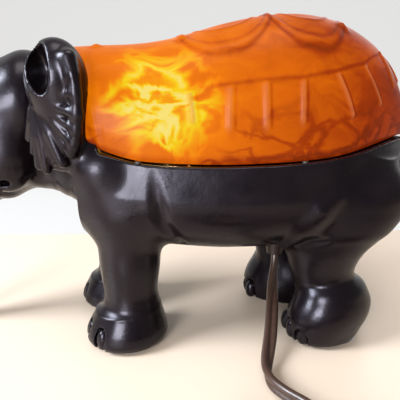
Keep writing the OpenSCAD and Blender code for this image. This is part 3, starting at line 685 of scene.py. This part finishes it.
# The relief's painted shade and painted highlight, kept on the outer face only.
painted_relief_shading = shade.data.attributes.new("painted_relief_shading", "FLOAT", "POINT")
painted_relief_shading.data.foreach_set("value", np.concatenate([dark.ravel(), 0 * dark.ravel()]).astype(np.float32))

amber = Finish("amber_glass")
place = amber.node("ShaderNodeTexCoord")
swirl = amber.node("ShaderNodeTexNoise", Scale=42.0, Detail=3.0, Distortion=0.9,
                   Vector=place.outputs["Object"])
bent = amber.node("ShaderNodeVectorMath", {"operation": "MULTIPLY_ADD"})
amber.tree.links.new(swirl.outputs["Color"], bent.inputs[0])
bent.inputs[1].default_value = (0.030, 0.030, 0.030)
amber.tree.links.new(place.outputs["Object"], bent.inputs[2])
stretch = amber.node("ShaderNodeMapping", Vector=bent.outputs["Vector"])
stretch.inputs["Rotation"].default_value = (0.0, 0.55, 0.0)
stretch.inputs["Scale"].default_value = (0.62, 1.0, 1.35)
veins = amber.node("ShaderNodeTexVoronoi", {"feature": "DISTANCE_TO_EDGE"}, Scale=62.0,
                   Vector=stretch.outputs["Vector"])
net = amber.remap(veins.outputs["Distance"], 0.0, 0.26, 1.0, 0.0, "SMOOTHSTEP")
crazing = amber.remap(veins.outputs["Distance"], 0.0, 0.16, 1.0, 0.0, "SMOOTHSTEP")
# Painted light of the bulb, not cast by it: far brightens the glass the nearer it lies to the bulb's place.
gap = amber.node("ShaderNodeVectorMath", {"operation": "DISTANCE"})
amber.tree.links.new(place.outputs["Object"], gap.inputs[0])
gap.inputs[1].default_value = (-0.006, 0.0, 0.128)
flat = amber.node("ShaderNodeVectorMath", {"operation": "MULTIPLY"})
amber.tree.links.new(bent.outputs["Vector"], flat.inputs[0])
flat.inputs[1].default_value = (1.0, 0.0, 1.0)
# Painted hot spot where the bulb shows through, measured from the side so both flanks get it; near and core
# brighten it.
spot = amber.node("ShaderNodeVectorMath", {"operation": "DISTANCE"})
amber.tree.links.new(flat.outputs["Vector"], spot.inputs[0])
spot.inputs[1].default_value = (0.006, 0.0, 0.144)
near = amber.remap(spot.outputs["Value"], 0.004, 0.045, 1.0, 0.0, "SMOOTHERSTEP")
painted_hot_core = amber.remap(spot.outputs["Value"], 0.000, 0.024, 0.20, 0.0, "SMOOTHERSTEP")
far = amber.remap(gap.outputs["Value"], 0.040, 0.118, 0.45, 0.08)
cloudy = amber.node("ShaderNodeTexNoise", Scale=34.0, Detail=5.0, Distortion=1.3,
                    Vector=stretch.outputs["Vector"])


def maths(finish, operation, first, second, third=None):
    made = finish.node("ShaderNodeMath", {"operation": operation})
    for k, value in enumerate((first, second, third)):
        if value is not None:
            finish.feed(made, str(k), value)
    return made.outputs["Value"]


painted_relief_shading = amber.node("ShaderNodeAttribute", {"attribute_name": "painted_relief_shading"}).outputs["Fac"]
# Mottling of the glass plus the painted falloff of the bulb's light.
mottle_and_painted_falloff = maths(amber, "MULTIPLY_ADD", cloudy.outputs["Fac"], 0.30, far)
mottle_and_painted_falloff = maths(amber, "SUBTRACT", mottle_and_painted_falloff, 0.15)
# Painted sparkle: the glass's veins lit up only round the painted hot spot.
painted_bulb_sparkle = maths(amber, "MULTIPLY", net, near)
painted_glow = maths(amber, "MULTIPLY_ADD", painted_bulb_sparkle, 0.48, maths(amber, "ADD", mottle_and_painted_falloff, painted_hot_core))
tall = amber.node("ShaderNodeSeparateXYZ", Vector=place.outputs["Object"])
band = amber.remap(tall.outputs["Z"], 0.114, 0.132, 1.0, 0.22)
calm = maths(amber, "MULTIPLY", band, maths(amber, "SUBTRACT", 1.0, near))
crack = maths(amber, "MULTIPLY", crazing, calm)
painted_glow = maths(amber, "MULTIPLY_ADD", crack, -0.13, painted_glow)
# Painted shade along the relief lines dims the painted glow.
painted_glow = maths(amber, "MULTIPLY_ADD", maths(amber, "MAXIMUM", painted_relief_shading, 0.0), -0.15, painted_glow)
# The painted glow's colours, deep red where dim to yellow where brightest.
painted_glow_colours = amber.node("ShaderNodeValToRGB", Fac=painted_glow)
stops = painted_glow_colours.color_ramp.elements
stops[0].position, stops[0].color = 0.0, (0.16, 0.012, 0.001, 1.0)
stops[1].position, stops[1].color = 1.0, (1.0, 0.92, 0.22, 1.0)
for spot, colour in ((0.14, (0.36, 0.034, 0.001)), (0.32, (0.76, 0.145, 0.001)), (0.50, (0.98, 0.24, 0.001)),
                     (0.68, (1.0, 0.50, 0.003)), (0.84, (1.0, 0.80, 0.010))):
    stops.new(spot).color = (*colour, 1.0)
# Painted highlight: the tops of the bars and studs are mixed towards a pale salmon.
painted_top_highlight = maths(amber, "MAXIMUM", maths(amber, "MULTIPLY", painted_relief_shading, -1.0), 0.0)
pale = amber.node("ShaderNodeMix", {"data_type": "RGBA"},
                  Factor=maths(amber, "MULTIPLY", painted_top_highlight, 0.5))
amber.feed(pale, "A", painted_glow_colours.outputs["Color"])
pale.inputs["B"].default_value = (0.80, 0.26, 0.09, 1.0)
# The glass's glow is painted into this emission rather than cast by the bulb, and it moves with the shade
# when it is lifted.
amber.set(Base_Color=(0.06, 0.010, 0.001, 1.0), Roughness=0.34, Specular_IOR_Level=0.03, Coat_Weight=0.02,
          Coat_Roughness=0.14, Emission_Color=pale.outputs["Result"], Emission_Strength=0.78)
orange_peel = amber.node("ShaderNodeBump", Strength=0.10, Distance=0.0006, Height=cloudy.outputs["Fac"])
amber.set(Normal=orange_peel.outputs["Normal"])
shade.data.materials.append(amber.material)
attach(shade, "shade")
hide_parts("glass_shade")

# ---------------------------------------------------------------------------------------------------
# Bulb holder: a zinc bracket screwed in the body carries a threaded pipe, a brass shell socket with
# its screw shell, contact, terminal screws and leads. The bulb screws in from above and is lit.

zinc = speckle("zinc_steel", (0.42, 0.42, 0.43), (0.60, 0.60, 0.59), 500, 0.34, Metallic=1.0)
brass = speckle("brass", (0.50, 0.34, 0.12), (0.68, 0.48, 0.20), 380, 0.28, Metallic=1.0)
phenolic = speckle("phenolic", (0.012, 0.010, 0.009), (0.030, 0.022, 0.018), 300, 0.42)
lead_insulation = speckle("lead_insulation", (0.030, 0.014, 0.008), (0.055, 0.026, 0.014), 500, 0.45)
for node, finish in (("socket_bracket", zinc), ("bracket_screws", zinc), ("threaded_pipe", zinc),
                     ("pipe_nuts", zinc), ("socket_cap", brass), ("socket_shell", brass),
                     ("screw_shell", brass),
                     ("centre_contact", brass), ("terminal_screws", brass), ("socket_leads", lead_insulation),
                     ("bulb_base", zinc), ("bulb_contact", brass)):
    dress(node, finish)

envelope = speckle("bulb_glass", (0.95, 0.93, 0.90), (1.0, 0.98, 0.95), 60, 0.06, Transmission_Weight=0.85)
envelope.set(Emission_Color=(1.0, 0.72, 0.36, 1.0), Emission_Strength=0.5)
dress("bulb_glass", envelope)
filament = speckle("bulb_filament", (0.5, 0.4, 0.3), (0.7, 0.6, 0.5), 800, 0.4)
filament.set(Emission_Color=(1.0, 0.62, 0.28, 1.0), Emission_Strength=25.0)
dress("bulb_filament", filament)

# ---------------------------------------------------------------------------------------------------
# Cord: flat brown two-conductor lamp cord, moulded with a groove down each side. It leaves through a
# bushing under the belly, passes a line switch, and its spare length is coiled and tied by the plug.

cord_w, cord_t = 7.1, 3.6
half = []
for k in range(14):
    t = math.radians(-146 + 292 * k / 13)
    half.append((cord_w / 4 + cord_w / 4 * math.cos(t), cord_t / 2 * math.sin(t)))
cord_outline = half + [(-x, -y) for x, y in half]

vinyl = speckle("cord_vinyl", (0.030, 0.015, 0.010), (0.058, 0.030, 0.020), 300, 0.36, Coat_Weight=0.15)
moulded = speckle("moulded_brown", (0.012, 0.0065, 0.0045), (0.024, 0.012, 0.008), 260, 0.42)

lamp_route = [
    [57, 0, 62], [57, 0, 51], [57, 0, 40], [56, -4, 31], [54, -12, 23.5], [51.8, -22, 17.5],
              [49.4, -32, 12.6],
    [46.8, -42, 8.8], [44, -51, 6.2], [41.6, -59, 4.7], [40.4, -66, 4], [41.6, -73.5, 3.9], [46, -80.5, 3.9],
    [51.5, -86.5, 3.9], [56.5, -92.5, 3.9], [61, -98, 3.9], [65.5, -103.2, 4], [70, -108, 4.7],
              [75.5, -112.3, 6],
    [81.5, -115, 7.6], [88, -116, 8.5]]
lamp_wide = [
    [0, 1, 0], [0, 1, 0], [0.1, 1, 0], [0.4, 0.9, 0], [0.7, 0.6, 0], [0.9, 0.4, 0.1], [1, 0.2, 0],
             [1, 0, -0.15],
    [0.95, 0, -0.45], [0.7, 0, -0.75], [0.3, 0, -1], [0, 0, -1], [0, 0, -1], [0, 0, -1], [0, 0, -1],
             [0, 0, -1],
    [0, 0, -1], [0.1, 0.1, -1], [0.3, 0.3, -0.9], [0.4, 0.8, -0.4], [0, 1, 0]]
plug_route = [
    [144, -116, 8.5], [153, -116.4, 7], [162, -118.6, 4.8], [170, -123.5, 3.9], [175, -131, 3.9],
              [175.9, -140, 3.9],
    [173, -149, 3.9], [166.5, -156, 3.9], [157, -161, 3.9], [145, -164.6, 3.9], [131, -167.6, 3.9],
    [117, -170.6, 3.9], [102, -174.6, 3.9], [84, -180.8, 3.9], [67, -187, 3.9], [58, -190.2, 3.9]]
end_route = [[20, -196.4, 11.6], [10, -197, 11], [0, -197.6, 9.4], [-10, -198, 7.6], [-20, -198, 6.8],
             [-30, -198, 6.6]]

coil_middle, coil_start, coil_outer, coil_pitch = (34, -152), -0.33, 43.8, 3.9
climb, leave = 15.4, 10 * math.pi
coil = []
for angle in np.arange(coil_start, leave + 0.01, 0.11):
    inward = coil_pitch * (min(angle, climb) - coil_start) / (2 * math.pi)
    outward = coil_pitch * max(angle - climb - 1, 0) / (2 * math.pi)
    rise = np.clip(angle - climb, 0, 1)
    r = coil_outer - inward + outward
    coil.append([coil_middle[0] - r * math.sin(angle), coil_middle[1] - r * math.cos(angle),
                 3.9 + 7.3 * rise * rise * (3 - 2 * rise)])


def lay_cord(name, line, wide):
    points, faces = sweep(line, cord_outline, wide)
    piece = mesh_object(name, points * mm, faces)
    piece.data.materials.append(vinyl.material)
    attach(piece, "lamp")
    return piece


first = catmull(lamp_route, np.linspace(0, 1, 180))
first_cord = lay_cord("cord_to_switch", first, catmull(lamp_wide, np.linspace(0, 1, 180)))
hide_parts("lamp_cord")

second_rows = plug_route + coil[::4] + end_route
second = catmull(second_rows, np.linspace(0, 1, 1400))
tilt = np.interp(np.linspace(0, 1, 1400), [0, 2.5 / (len(second_rows) - 1), 1 - 4 / (len(second_rows) - 1),
                                           1],
                 [1, 0, 0, 1])
second_wide = np.stack([0 * tilt, tilt, -(1 - tilt) - 0.02], 1)
second_cord = lay_cord("cord_to_plug", second, second_wide)
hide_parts("plug_cord", "cord_coil", "plug_lead")
for node, finish in (("cord_bushing", moulded), ("switch_base", moulded), ("switch_cover", moulded),
                     ("switch_screws", zinc), ("switch_spindle", zinc), ("switch_contacts", brass),
                     ("switch_wheel", phenolic), ("plug_body", moulded), ("plug_blades", brass)):
    dress(node, finish)
tie_finish = speckle("tie_black", (0.010, 0.010, 0.010), (0.025, 0.025, 0.025), 500, 0.5)
dress("coil_tie", tie_finish)
